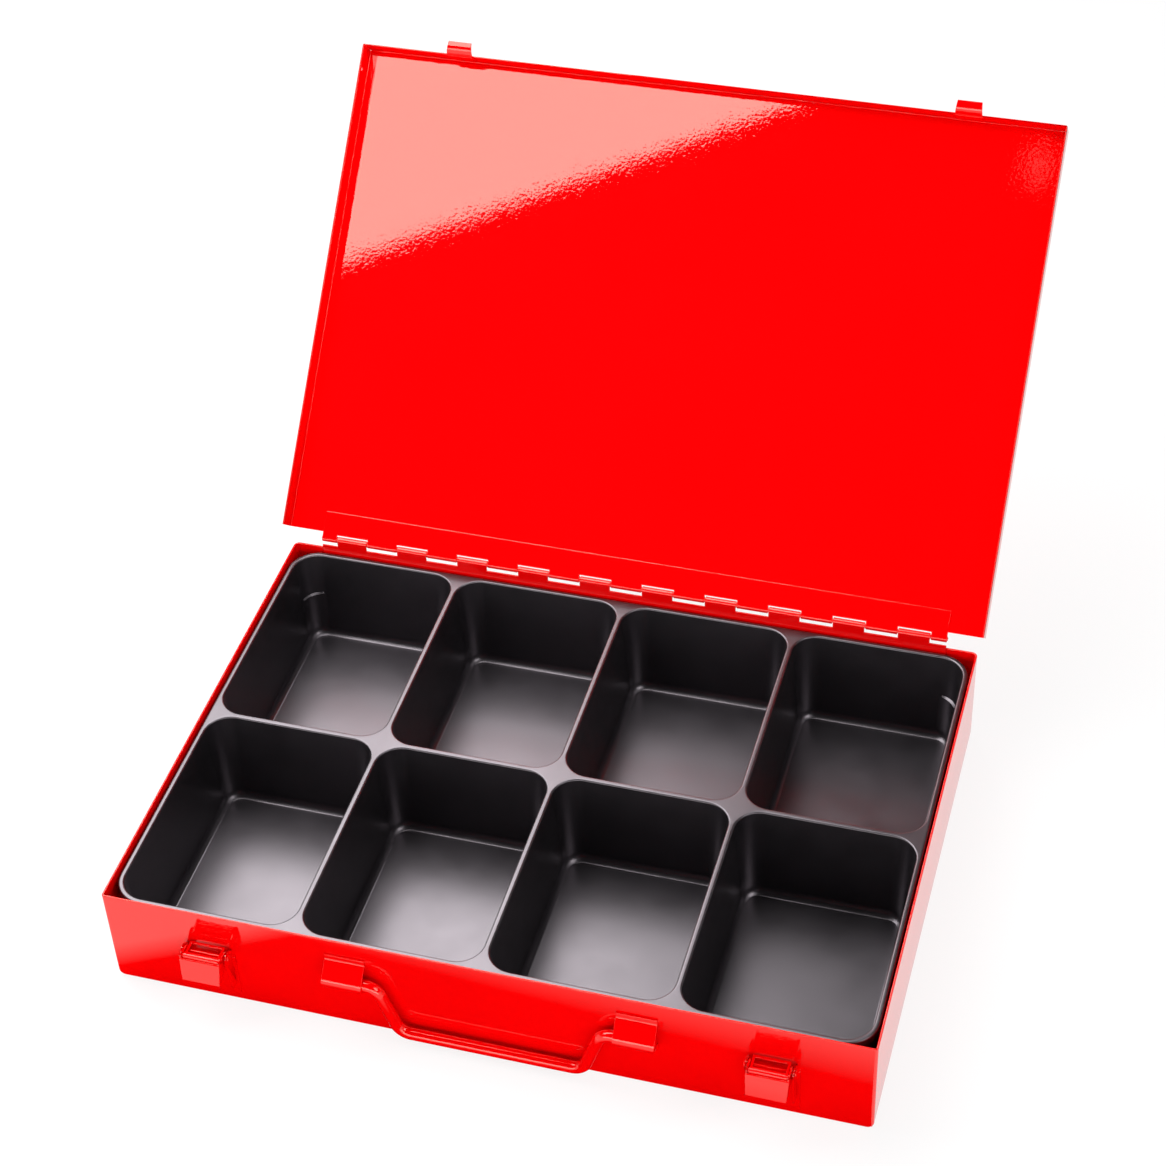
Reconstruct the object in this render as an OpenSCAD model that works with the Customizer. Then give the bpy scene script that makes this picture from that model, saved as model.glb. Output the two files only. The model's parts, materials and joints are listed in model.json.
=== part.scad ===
// Flat steel assortment case: a folded base, a hinged lid that stands open, two toggle
// latches, a wire carrying handle and a one-piece moulded tray with eight compartments.
// Millimetres. The origin is the middle of the underside, X to the right, Y to the hinge, Z up.

/* [Base] */
// Outer width of the base
base_w = 434; // [410:1:460]
// Outer depth of the base
base_d = 306; // [290:1:330]
// Height of the rim above the surface that the case stands on
base_h = 67; // [62:0.5:75]
// Thickness of the steel sheet of base and lid
sheet = 0.8; // [0.6:0.1:1.1]
// Outer radius of the base's bottom edges and upright corners
base_r = 2.5; // [2:0.1:6]
// Height of the hem that is folded in along the rim
hem_h = 7; // [5:0.5:10]
// Thickness that the hem adds inside the wall
hem_t = 1.2; // [1:0.1:1.6]

/* [Lid] */
// Angle at which the lid stands open, from closed
lid_open = 134; // [100:1:150]
// Height of the closed lid's inner face over the rim
lid_lift = 5; // [4:0.5:7]
// Depth of the lid's skirts, over the panel
lid_skirt = 15.2; // [12:0.2:18]
// Gap between the lid's skirts and the base walls
lid_gap = 2.7; // [1.8:0.1:3]
// Outer radius of the lid's bends
lid_r = 2; // [1.2:0.1:3]
// Gap between the panel's rear edge and the hinge knuckles
lid_rear_gap = 1.9; // [0.6:0.1:3]

/* [Hinge] */
// Length of the hinge
hinge_len = 396; // [340:2:400]
// Number of knuckles on the base leaf
hinge_knuckles = 10; // [6:1:12]
// Thickness of the hinge leaves
leaf_t = 0.8; // [0.6:0.1:1]
// Outer diameter of the knuckles
knuckle_d = 4.2; // [3.8:0.1:5]
// Diameter of the hinge pin
hinge_pin_d = 2.2; // [1.8:0.1:2.4]
// Width of the lid leaf, from the pin
lid_leaf_w = 17; // [12:0.5:22]
// Height of the base leaf below the rim
base_leaf_h = 15; // [10:0.5:20]
// Opening under each lid knuckle
knuckle_slot = 2.6; // [1.5:0.1:3]
// Gap between the lid leaf's strip and the knuckles of the base
finger_gap = 0.6; // [0.4:0.1:1]

/* [Tray] */
// Compartments across the tray
tray_cols = 4; // [2:1:5]
// Compartments from front to back
tray_rows = 2; // [1:1:3]
// Distance of the tray's rim below the rim of the base
tray_drop = 3.1; // [2:0.1:6]
// Wall thickness of the tray
tray_wall = 1.2; // [1:0.1:1.6]
// Gap between the tray and the hem
tray_gap = 0.6; // [0.3:0.1:1.5]
// Width of the dividers at the rim
divider_w = 3.6; // [3:0.1:6]
// Width of the rim round the outside
tray_rim = 3.2; // [2.5:0.1:5]
// Height of the turned-down edge of the rim
tray_lip = 5; // [3:0.5:8]
// Corner radius of a compartment at the rim
pocket_r = 15; // [10:0.5:20]
// Radius between a compartment's wall and floor
pocket_fillet = 5; // [4:0.5:9]
// Draft of the compartment walls, in degrees
pocket_draft = 4; // [1:0.5:6]

/* [Latches] */
// Distance of the latches' middle to the right of the case's middle
latch_mid = 3; // [-10:1:10]
// Distance of each latch from the end of the base, with the latches in the middle
latch_in = 58; // [40:1:75]
// Distance that the lid's catch stands out from the skirt
catch_out = 6.5; // [6:0.5:10]
// Width of the lid's catch
catch_w = 16.5; // [12:0.5:18]
// Distance that the catch hangs below the skirt
catch_drop = 6; // [5:0.1:11]
// Height of the catch's welded tab on the skirt
catch_tab = 9; // [6:0.5:11]
// Thickness of the latch and catch sheet
latch_t = 1; // [0.8:0.1:1.2]
// Width of the lever
lever_w = 23.5; // [22:0.5:28]
// Height of the lever's front plate
lever_h = 14.5; // [12:0.5:20]
// Distance that the front plate's lower edge leans out
lever_lean = 1.8; // [0:0.1:3]
// Diameter of the lever pin
lever_pin_d = 2.4; // [2:0.1:3]
// Diameter of the link pin
link_pin_d = 2.1; // [1.6:0.1:2.2]
// Distance of the link pin in front of the catch
link_out = 1.5; // [0.5:0.1:2]
// Distance of the link pin below the catch
link_below = 7; // [6.8:0.1:8]
// Distance of the lever pin from the front wall
lever_pin_out = 6; // [5.5:0.1:7]
// Distance of the lever pin below the link pin
lever_pin_below = 2.4; // [2.3:0.1:3.5]
// Distance of the latch bracket's lower end from the underside
bracket_z = 7; // [6:0.5:12]

/* [Handle] */
// Distance of the handle's middle to the right of the case's middle
handle_mid = 6.5; // [-10:0.5:10]
// Distance of the upper bends from the handle's middle
handle_x = 63.5; // [58:0.5:75]
// Distance of the grip bar's ends from the handle's middle
grip_x = 52; // [40:1:55]
// Height of the handle's pivot
handle_z = 41.5; // [34:0.5:46]
// Height of the grip bar when it hangs
grip_z = 8; // [5:0.5:10]
// Diameter of the handle's rod
rod_d = 7; // [5:0.5:8]
// Bend radius of the rod, at its middle
bend_r = 9; // [7:0.5:11]
// Width of the straps that hold the handle
strap_w = 23; // [18:0.5:30]
// Thickness of the straps
strap_t = 1.2; // [1:0.1:1.6]
// Gap between the hanging rod and the front wall
rod_gap = 1.8; // [1.4:0.1:3]
// Height of the strap's foot above its loop
strap_foot = 10; // [5:0.5:10]
// Height of the strap's foot below its loop
strap_toe = 4.5; // [3:0.5:10]
// Lean of the strap's upper slope from upright, in degrees
strap_lean = 42; // [35:1:50]

/* [Fits] */
// Radial running clearance of the pins
pin_clear = 0.06; // [0.03:0.01:0.1]
// Clearance between moving faces
move_clear = 0.5; // [0.3:0.05:0.8]

/* [Hidden] */
$fn = 64;
hull_fn = 32;
eps = 0.01;
paint = "red";
tray_black = "dimgray";

// Walls
front_y = -base_d / 2;
rear_in_y = base_d / 2 - sheet;
hem_least_r = 0.3;

// Hinge axis: the base leaf lies on the rear wall and the lid leaf under the lid's panel,
// and both run into the knuckles along a tangent
knuckle_r = knuckle_d / 2;
lid_z = base_h + lid_lift;
hinge_y = rear_in_y - leaf_t + knuckle_r;
hinge_z = lid_z - leaf_t + knuckle_r;
knuckle_pitch = hinge_len / hinge_knuckles;
knuckle_len = knuckle_pitch / 2 - move_clear;
hinge_pin_extra = 0.5;

// Lid
lid_w = base_w + 2 * (lid_gap + sheet);
lid_front_y = front_y - lid_gap - sheet;
lid_rear_y = hinge_y - knuckle_r - lid_rear_gap;
skirt_z = lid_z + sheet - lid_skirt;

// Tray
tray_w = base_w - 2 * (sheet + hem_t + tray_gap);
tray_d = base_d - 2 * (sheet + hem_t + tray_gap);
tray_z = base_h - tray_drop;
tray_r = pocket_r + tray_rim;
pocket_w = (tray_w - 2 * tray_rim - (tray_cols - 1) * divider_w) / tray_cols;
pocket_d = (tray_d - 2 * tray_rim - (tray_rows - 1) * divider_w) / tray_rows;
pocket_floor = sheet + tray_wall;
pocket_foot_r = 2;

// Latch, measured out from the front wall
latch_left = latch_mid - (base_w / 2 - latch_in);
latch_right = latch_mid + base_w / 2 - latch_in;
catch_z = skirt_z - catch_drop;
catch_end = lid_gap + sheet + catch_out;
link_pin_out = catch_end + link_out;
link_pin_z = catch_z - link_below;
lever_pin_z = link_pin_z - lever_pin_below;
link_w = lever_w - 2 * latch_t - 2 * move_clear;
link_tip_gap = 1.2;
link_slot_gap = 0.6;
link_bar = 1.6;
link_barrel_wall = 0.65;
link_barrel_r = link_pin_d / 2 + link_barrel_wall;
link_len = link_pin_out - link_tip_gap;
link_slot_w = catch_w + 2 * link_slot_gap;
link_slot_len = link_len - link_bar - link_barrel_r - link_slot_gap;
lever_plate_gap = 0.3;
lever_plate_out = link_pin_out + link_barrel_r + lever_plate_gap;
lever_top_gap = 0.3;
lever_top_z = link_pin_z - lever_top_gap;
lever_low_z = lever_top_z - lever_h;
lever_low_out = lever_plate_out + lever_lean;
lever_boss_r = 3.2;
link_boss_r = 2.6;
ear_boss_r = 3.7;
ear_x = lever_w / 2 + move_clear;
bracket_ledge = 1.75;
bracket_w = 2 * (ear_x + latch_t + bracket_ledge);
bracket_top_gap = 3.5;
bracket_top = lever_pin_z - bracket_top_gap;
ear_foot = 4;
ear_rise = 8;
ear_low_z = bracket_z + ear_rise;
cheek_foot = 3;
pin_head_t = 0.8;
pin_head_rim = 0.7;
pin_head_r = lever_pin_d / 2 + pin_head_rim;

// Handle, measured out from the front wall
rod_r = rod_d / 2;
strap_in_r = rod_r + pin_clear;
strap_out_r = strap_in_r + strap_t;
rod_out = rod_r + rod_gap;
arm_angle = atan2(handle_z - grip_z, handle_x - grip_x);
bend_len = bend_r * tan(arm_angle / 2);
strap_x = handle_x + bend_len + move_clear;
bend_steps = 6;
bend_sides = 16;
bend_step_r = 0.05;
bend_tube_r = rod_r - bend_step_r;
rod_lap = 1;

// A rounded outline
module rounded_square(w, d, r) {
    union() {
        square([w - 2 * r, d], center = true);
        square([w, d - 2 * r], center = true);
        for (x = [-1, 1])
            for (y = [-1, 1])
                translate([x * (w / 2 - r), y * (d / 2 - r)]) circle(r);
    }
}

// A box standing on z = 0 with its bottom edges and upright edges rounded
module rounded_block(w, d, h, r) {
    translate([0, 0, r]) linear_extrude(h - r) rounded_square(w, d, r);
    translate([0, 0, r / 2]) cube([w - 2 * r, d - 2 * r, r], center = true);
    for (x = [-1, 1])
        for (y = [-1, 1])
            translate([x * (w / 2 - r), y * (d / 2 - r), r]) sphere(r);
    for (y = [-1, 1])
        translate([0, y * (d / 2 - r), r]) rotate([0, 90, 0]) cylinder(h = w - 2 * r, r = r, center = true);
    for (x = [-1, 1])
        translate([x * (w / 2 - r), 0, r]) rotate([90, 0, 0]) cylinder(h = d - 2 * r, r = r, center = true);
}

// A rod along X, centred
module rod_x(len, r) {
    rotate([0, 90, 0]) cylinder(h = len, r = r, center = true);
}

// The lid's place when it stands open
module lid_pose() {
    translate([0, hinge_y, hinge_z])
        rotate([-lid_open, 0, 0])
            translate([0, -hinge_y, -hinge_z])
                children();
}

// Latch parts are drawn with X along the case, Y out from the front wall and Z up
module on_front(x) {
    translate([x, front_y, 0]) mirror([0, 1, 0]) children();
}

// A plate in the plane square to X: the outline is given as distance from the wall and height
module side_plate(x, t) {
    translate([x - t / 2, 0, 0]) rotate([90, 0, 90]) linear_extrude(t) children();
}

// Base with its folded-in hem, which stops beside the hinge
module base_shell() {
    inner_r = base_r - sheet;
    hem_r = max(inner_r - hem_t, hem_least_r);
    color(paint) union() {
        difference() {
            rounded_block(base_w, base_d, base_h, base_r);
            translate([0, 0, sheet])
                rounded_block(base_w - 2 * sheet, base_d - 2 * sheet, base_h, inner_r);
        }
        translate([0, 0, base_h - hem_h]) linear_extrude(hem_h) difference() {
            rounded_square(base_w - 2 * sheet, base_d - 2 * sheet, inner_r);
            rounded_square(base_w - 2 * (sheet + hem_t), base_d - 2 * (sheet + hem_t), hem_r);
            translate([0, rear_in_y]) square([hinge_len + 2 * move_clear, 4 * hem_t], center = true);
        }
    }
}

// One level of a compartment, drawn in by the draft and the floor radius
module pocket_level(z, inset, grow) {
    translate([0, 0, z]) linear_extrude(eps)
        rounded_square(pocket_w - 2 * inset + 2 * grow, pocket_d - 2 * inset + 2 * grow,
            max(pocket_r - inset, pocket_foot_r) + grow, $fn = hull_fn);
}

// A drafted compartment with a rounded floor edge, grown by the wall for the outside
module pocket(floor_z, top_z, grow) {
    wall_h = tray_z - floor_z - pocket_fillet;
    foot_inset = wall_h * tan(pocket_draft);
    hull() {
        pocket_level(top_z, 0, grow);
        for (a = [0 : 30 : 90])
            pocket_level(floor_z + pocket_fillet * (1 - cos(a)),
                foot_inset + pocket_fillet * (1 - sin(a)), grow);
    }
}

// Repeats a shape at every compartment
module each_pocket() {
    for (i = [0 : tray_cols - 1])
        for (j = [0 : tray_rows - 1])
            translate([(i - (tray_cols - 1) / 2) * (pocket_w + divider_w),
                (j - (tray_rows - 1) / 2) * (pocket_d + divider_w), 0])
                children();
}

// Moulded tray: a rim plate with a turned-down edge, and eight cups that stand on the floor
module insert_tray() {
    color(tray_black) difference() {
        union() {
            translate([0, 0, tray_z - tray_wall]) linear_extrude(tray_wall)
                rounded_square(tray_w, tray_d, tray_r, $fn = hull_fn);
            translate([0, 0, tray_z - tray_lip]) linear_extrude(tray_lip) difference() {
                rounded_square(tray_w, tray_d, tray_r, $fn = hull_fn);
                rounded_square(tray_w - 2 * tray_wall, tray_d - 2 * tray_wall, tray_r - tray_wall,
                    $fn = hull_fn);
            }
            each_pocket() pocket(sheet, tray_z - tray_wall, tray_wall);
        }
        each_pocket() pocket(pocket_floor, tray_z + eps, 0);
    }
}

// Middle of a base knuckle
function base_knuckle_x(k) = (k + 0.5) * knuckle_pitch - hinge_len / 2;

// Middle and length of a lid knuckle: short ones at both ends, full ones between base knuckles
function lid_knuckle_end(k) = k == 0 || k == hinge_knuckles;
function lid_knuckle_len(k) = lid_knuckle_end(k) ? knuckle_len / 2 : knuckle_len;
function lid_knuckle_x(k) = k * knuckle_pitch - hinge_len / 2
    + (k == 0 ? knuckle_len / 4 : k == hinge_knuckles ? -knuckle_len / 4 : 0);

// Leaf on the inside of the rear wall, with a finger and a knuckle at each base place
module base_hinge_leaf() {
    low_z = base_h - base_leaf_h;
    slot_z = hinge_z - knuckle_r - knuckle_slot;
    color(paint) difference() {
        union() {
            translate([-hinge_len / 2, rear_in_y - leaf_t, low_z]) cube([hinge_len, leaf_t, slot_z - low_z]);
            for (k = [0 : hinge_knuckles - 1])
                translate([base_knuckle_x(k), 0, 0]) {
                    translate([-knuckle_len / 2, rear_in_y - leaf_t, slot_z])
                        cube([knuckle_len, leaf_t, hinge_z - slot_z]);
                    translate([0, hinge_y, hinge_z]) rod_x(knuckle_len, knuckle_r);
                }
        }
        translate([0, hinge_y, hinge_z]) rod_x(2 * hinge_len, hinge_pin_d / 2 + pin_clear);
    }
}

// Leaf under the lid's panel, with a finger and a knuckle at each lid place
module lid_hinge_leaf() {
    strip_y = hinge_y - knuckle_r - finger_gap;
    color(paint) lid_pose() difference() {
        union() {
            translate([-hinge_len / 2, hinge_y - lid_leaf_w, lid_z - leaf_t])
                cube([hinge_len, strip_y - hinge_y + lid_leaf_w, leaf_t]);
            for (k = [0 : hinge_knuckles])
                translate([lid_knuckle_x(k), 0, 0]) {
                    translate([-lid_knuckle_len(k) / 2, strip_y, lid_z - leaf_t])
                        cube([lid_knuckle_len(k), hinge_y - strip_y, leaf_t]);
                    translate([0, hinge_y, hinge_z]) rod_x(lid_knuckle_len(k), knuckle_r);
                }
        }
        translate([0, hinge_y, hinge_z]) rod_x(2 * hinge_len, hinge_pin_d / 2 + pin_clear);
    }
}

// Hinge pin through all knuckles
module hinge_pin() {
    color(paint) translate([0, hinge_y, hinge_z]) rod_x(hinge_len + 2 * hinge_pin_extra, hinge_pin_d / 2);
}

// Lid: a panel with skirts at the front and both sides, open at the hinge
module lid_shell() {
    lid_len = lid_rear_y - lid_front_y;
    color(paint) lid_pose() translate([0, lid_rear_y, lid_z + sheet]) mirror([0, 0, 1]) difference() {
        rounded_block(lid_w, 2 * lid_len, lid_skirt, lid_r);
        translate([0, 0, sheet])
            rounded_block(lid_w - 2 * sheet, 2 * (lid_len - sheet), lid_skirt, lid_r - sheet);
        translate([-lid_w, 0, -lid_skirt]) cube([2 * lid_w, 2 * lid_len, 3 * lid_skirt]);
    }
}

// Catch on the lid: a tab inside the front skirt and a lip that stands out below it
module lid_catch(x) {
    color(paint) lid_pose() on_front(x) {
        translate([-catch_w / 2, lid_gap - latch_t, catch_z]) {
            cube([catch_w, latch_t, catch_drop + catch_tab]);
            cube([catch_w, catch_end - lid_gap + latch_t, latch_t]);
        }
    }
}

// Outline of a bracket ear, round at the lever pin and tapering down to the foot
module ear_outline() {
    polygon([[0, ear_low_z], [ear_foot, ear_low_z], [lever_pin_out + ear_boss_r, lever_pin_z],
        [lever_pin_out, lever_pin_z + ear_boss_r], [0, lever_pin_z]]);
    translate([lever_pin_out, lever_pin_z]) circle(ear_boss_r);
}

// Bracket on the front wall with two ears for the lever pin
module latch_bracket(x) {
    color(paint) on_front(x) difference() {
        union() {
            translate([-bracket_w / 2, 0, bracket_z]) cube([bracket_w, latch_t, bracket_top - bracket_z]);
            for (s = [-1, 1])
                side_plate(s * (ear_x + latch_t / 2), latch_t) ear_outline();
        }
        translate([0, lever_pin_out, lever_pin_z]) rod_x(2 * bracket_w, lever_pin_d / 2 + pin_clear);
    }
}

// Outline of a lever cheek, from the lever pin to the link pin and down behind the front plate
module cheek_outline() {
    polygon([[lever_pin_out, lever_pin_z + lever_boss_r], [link_pin_out, link_pin_z + link_boss_r],
        [lever_plate_out, link_pin_z], [lever_low_out, lever_low_z],
        [lever_low_out - cheek_foot, lever_low_z], [lever_pin_out, lever_pin_z - lever_boss_r]]);
    translate([lever_pin_out, lever_pin_z]) circle(lever_boss_r);
    translate([link_pin_out, link_pin_z]) circle(link_boss_r);
}

// Outline of the lever's front plate, whose lower edge leans out
module plate_outline() {
    polygon([[lever_plate_out, lever_top_z], [lever_plate_out + latch_t, lever_top_z],
        [lever_low_out + latch_t, lever_low_z], [lever_low_out, lever_low_z]]);
}

// Lever: a front plate between two cheeks
module latch_lever(x) {
    color(paint) on_front(x) difference() {
        union() {
            side_plate(0, lever_w) plate_outline();
            for (s = [-1, 1])
                side_plate(s * (lever_w - latch_t) / 2, latch_t) cheek_outline();
        }
        translate([0, lever_pin_out, lever_pin_z]) rod_x(2 * lever_w, lever_pin_d / 2 + pin_clear);
        translate([0, link_pin_out, link_pin_z]) rod_x(2 * lever_w, link_pin_d / 2 + pin_clear);
    }
}

// Link: a slotted plate on the link pin that swings up over the lid's catch
module latch_link(x) {
    color(paint) on_front(x) difference() {
        union() {
            translate([-link_w / 2, link_pin_out - link_len, link_pin_z - latch_t / 2])
                cube([link_w, link_len, latch_t]);
            translate([0, link_pin_out, link_pin_z]) rod_x(link_w, link_barrel_r);
        }
        translate([-link_slot_w / 2, link_pin_out - link_len + link_bar, link_pin_z - latch_t])
            cube([link_slot_w, link_slot_len, 2 * latch_t]);
        translate([0, link_pin_out, link_pin_z]) rod_x(2 * link_w, link_pin_d / 2 + pin_clear);
    }
}

// Pin across the bracket ears, with a head outside each ear
module lever_pin(x) {
    reach = ear_x + latch_t;
    color(paint) on_front(x) translate([0, lever_pin_out, lever_pin_z]) {
        rod_x(2 * reach, lever_pin_d / 2);
        for (s = [-1, 1])
            translate([s * (reach + pin_head_t / 2), 0, 0]) rod_x(pin_head_t, pin_head_r);
    }
}

// Pin across the lever cheeks
module link_pin(x) {
    color(paint) on_front(x) translate([0, link_pin_out, link_pin_z]) rod_x(lever_w, link_pin_d / 2);
}

// Stations along the bent rod from the right strap to the left one: x, z and slope of the run
function handle_bend_steps(from, to) = [for (i = [0 : bend_steps]) from + (to - from) * i / bend_steps];
function handle_upper(a) = [handle_x + bend_len - bend_r * sin(a), handle_z - bend_r + bend_r * cos(a), a];
function handle_lower(a) = [grip_x - bend_len + bend_r * sin(a), grip_z + bend_r - bend_r * cos(a), a];
function handle_right() = concat([[handle_x + bend_len + rod_lap, handle_z, 0]],
    [for (a = handle_bend_steps(0, arm_angle)) handle_upper(a)],
    [for (a = handle_bend_steps(arm_angle, 0)) handle_lower(a)]);
function handle_stations(right) = concat(right,
    [for (i = [len(right) - 1 : -1 : 0]) [-right[i][0], right[i][1], -right[i][2]]]);

// Tube along the stations, as rings joined by triangles
module handle_tube(stations) {
    n = bend_sides;
    last = len(stations) - 1;
    points = [for (p = stations) for (j = [0 : n - 1])
        [p[0] - bend_tube_r * cos(360 * j / n) * sin(p[2]), bend_tube_r * sin(360 * j / n),
            p[1] + bend_tube_r * cos(360 * j / n) * cos(p[2])]];
    sides = [for (i = [0 : last - 1]) for (j = [0 : n - 1]) let (k = (j + 1) % n)
        each [[i * n + j, i * n + n + j, i * n + k], [i * n + k, i * n + n + j, i * n + n + k]]];
    ends = [for (j = [1 : n - 2]) each [[0, j, j + 1], [last * n, last * n + j + 1, last * n + j]]];
    polyhedron(points, concat(sides, ends));
}

// Handle: one bent rod that hangs flat in front of the wall, with true round ends in the straps
module handle_bail() {
    color(paint) on_front(handle_mid) translate([0, rod_out, 0]) {
        handle_tube(handle_stations(handle_right()));
        for (s = [-1, 1])
            translate([s * (handle_x + bend_len + strap_w / 2), 0, handle_z]) rod_x(strap_w, rod_r);
    }
}

// Outline of a strap between the wall and the loop round the rod, with a slope down to the loop
module strap_outline() {
    touch = [rod_out + strap_out_r * cos(strap_lean), handle_z + strap_out_r * sin(strap_lean)];
    slope_z = touch[1] + (touch[0] - strap_t) / tan(strap_lean);
    polygon([[0, handle_z - strap_out_r], [rod_out, handle_z - strap_out_r], [rod_out, handle_z],
        touch, [strap_t, slope_z], [0, slope_z]]);
}

// Strap that holds one end of the handle: a loop round the rod and a foot above and below it
module handle_bracket(s) {
    low_z = handle_z - strap_out_r - strap_toe;
    high_z = handle_z + strap_out_r + strap_foot;
    color(paint) on_front(handle_mid + s * (strap_x + strap_w / 2)) difference() {
        union() {
            translate([-strap_w / 2, 0, low_z]) cube([strap_w, strap_t, high_z - low_z]);
            side_plate(0, strap_w) strap_outline();
            translate([0, rod_out, handle_z]) rod_x(strap_w, strap_out_r);
        }
        translate([0, rod_out, handle_z]) rod_x(2 * strap_w, strap_in_r);
    }
}

base_shell();
insert_tray();
base_hinge_leaf();
lid_hinge_leaf();
hinge_pin();
lid_shell();
lid_catch(latch_left);  // lid_catch_left
lid_catch(latch_right);  // lid_catch_right
latch_bracket(latch_left);  // latch_bracket_left
latch_bracket(latch_right);  // latch_bracket_right
latch_lever(latch_left);  // latch_lever_left
latch_lever(latch_right);  // latch_lever_right
latch_link(latch_left);  // latch_link_left
latch_link(latch_right);  // latch_link_right
lever_pin(latch_left);  // lever_pin_left
lever_pin(latch_right);  // lever_pin_right
link_pin(latch_left);  // link_pin_left
link_pin(latch_right);  // link_pin_right
handle_bail();
handle_bracket(-1);  // handle_bracket_left
handle_bracket(1);  // handle_bracket_right
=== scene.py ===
"""Open steel assortment case: glossy red sheet metal round a satin black compartment tray."""
import json
import math

import bmesh
import bpy
from mathutils import Matrix, Vector


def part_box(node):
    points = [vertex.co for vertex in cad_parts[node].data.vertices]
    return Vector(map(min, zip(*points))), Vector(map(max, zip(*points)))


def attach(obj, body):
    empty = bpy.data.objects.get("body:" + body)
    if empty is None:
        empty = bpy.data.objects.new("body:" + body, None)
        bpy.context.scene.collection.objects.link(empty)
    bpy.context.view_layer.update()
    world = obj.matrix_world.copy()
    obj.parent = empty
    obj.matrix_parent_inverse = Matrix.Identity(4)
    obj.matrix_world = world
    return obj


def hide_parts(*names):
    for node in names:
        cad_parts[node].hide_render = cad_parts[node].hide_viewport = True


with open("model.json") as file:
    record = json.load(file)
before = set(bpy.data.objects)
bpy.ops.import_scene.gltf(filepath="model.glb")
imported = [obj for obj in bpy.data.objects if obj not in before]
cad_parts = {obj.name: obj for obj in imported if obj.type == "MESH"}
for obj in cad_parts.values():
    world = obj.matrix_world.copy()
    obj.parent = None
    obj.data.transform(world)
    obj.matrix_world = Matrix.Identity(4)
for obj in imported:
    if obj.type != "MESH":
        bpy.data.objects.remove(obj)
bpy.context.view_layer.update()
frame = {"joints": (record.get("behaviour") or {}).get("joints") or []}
joints = {j["name"]: j for j in frame["joints"]}

# Sheet metal of the case, in metres
SHEET = 0.0008
BASE_EDGE_R = 0.004
FRONT_CORNER_R = 0.0018
REAR_CORNER_R = 0.0035
HEM_T = 0.0004
HEM_H = 0.007
RIM_ROUND = 0.00055
NOTCH_SLOPE = 0.0002
LID_R = 0.0011
LID_GAP = 0.0027
LID_SKIRT = 0.0152
LID_REAR_GAP = 0.0019
RELIEF_R = 0.0028
HANG_HOLE_R = 0.0014
HANG_HOLE_IN = 0.0155
HANG_HOLE_UP = 0.0044

# Piano hinge
HINGE_LEN = 0.396
HINGE_KNUCKLES = 10
KNUCKLE_R = 0.0021
KNUCKLE_GAP = 0.0005
KNUCKLE_SLOT = 0.0018
FINGER_GAP = 0.0006
CURL_TURN = math.radians(312)
LEAF_T = 0.0008
LID_LEAF_W = 0.017
LID_LEAF_EDGE = 0.00038
BASE_LEAF_H = 0.015
BASE_LEAF_EDGE = 0.00022
HINGE_WIRE_R = 0.0011
WIRE_END_ROUND = 0.0003

# Moulded tray
TRAY_COLS = 4
TRAY_ROWS = 2
TRAY_WALL = 0.0012
TRAY_RIM = 0.0032
TRAY_LIP = 0.005
DIVIDER_W = 0.0036
POCKET_R = 0.015
POCKET_DRAFT = math.radians(4)
FLOOR_EDGE_R = 0.006
FLOOR_EDGE_TURN = 62
FLOOR_CREASE_R = 0.0018
RIM_ROLL = 0.0011
STEP_DEPTH = 0.028
STEP_W = 0.0009
STEP_OUT = 0.0013

# Latches
LATCH_T = 0.001
MOVE_GAP = 0.0005
CATCH_W = 0.0165
CATCH_OUT = 0.0065
CATCH_DROP = 0.006
CATCH_TAB = 0.009
CATCH_BEND = 0.0055
CATCH_TAPER = 0.9
CATCH_EDGE = 0.0002
BRACKET_Z = 0.007
BRACKET_BELOW_PIN = 0.0035
BRACKET_MARGIN = 0.00175
BRACKET_TOP_FALL = 0.0012
BRACKET_EDGE = 0.00025
EAR_Z = 0.015
EAR_TOE_R = 0.003
EAR_BOSS_R = 0.0037
LEVER_W = 0.0235
LEVER_H = 0.0145
LEVER_TOP_GAP = 0.0003
LEVER_BOSS_R = 0.0034
LEVER_TOP_BOSS_R = 0.0026
LEVER_EDGE = 0.0003
PLATE_GAP = 0.0003
PLATE_LEAN = 0.0021
PLATE_TAPER = 0.93
CHEEK_FOOT = 0.0032
CHEEK_LAP = 0.0005
LINK_BARREL_R = 0.0017
LINK_BAR = 0.0016
LINK_TIP_GAP = 0.0012
LINK_SLOT_GAP = 0.0006
LINK_EDGE = 0.00022
LEVER_PIN_R = 0.0012
PIN_HEAD_T = 0.0008
PIN_HEAD_OUT = 0.0007
PIN_HEAD_ROUND = 0.00035
LINK_PIN_R = 0.00105
LINK_PIN_ROUND = 0.0003

# Handle
ROD_R = 0.0035
ROD_FIT = 0.00006
ROD_END_ROUND = 0.0006
BEND_R = 0.009
HANDLE_X = 0.0635
GRIP_X = 0.052
GRIP_Z = 0.008
STRAP_W = 0.023
STRAP_T = 0.0012
STRAP_FOOT = 0.010
STRAP_FOLD = 0.002
STRAP_LEAN = math.radians(42)
STRAP_TOE = 0.003
STRAP_EDGE = 0.0003

# Fineness of round shapes
ROUND = 24
WIRE_ROUND = 16
HOLE_ROUND = 16
BOSS_ROUND = 32
BARREL_ROUND = 20
BASE_EDGE_STEPS = 6
WALL_CORNER_STEPS = 5
PAN_FOOT_STEPS = 3
RIM_STEPS = 4
LID_FOLD_STEPS = 4
CURL_STEPS = 16
POCKET_CORNER_STEPS = 12
RIM_ROLL_STEPS = 5
FLOOR_EDGE_STEPS = 6
CREASE_STEPS = 3
TRAY_LIP_STEPS = 4
CATCH_BEND_STEPS = 8
ROD_BEND_STEPS = 12
ROD_END_STEPS = 3
STRAP_FOLD_STEPS = 5
STRAP_CURL_STEPS = 20
WORN_EDGE_STEPS = 2

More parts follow.
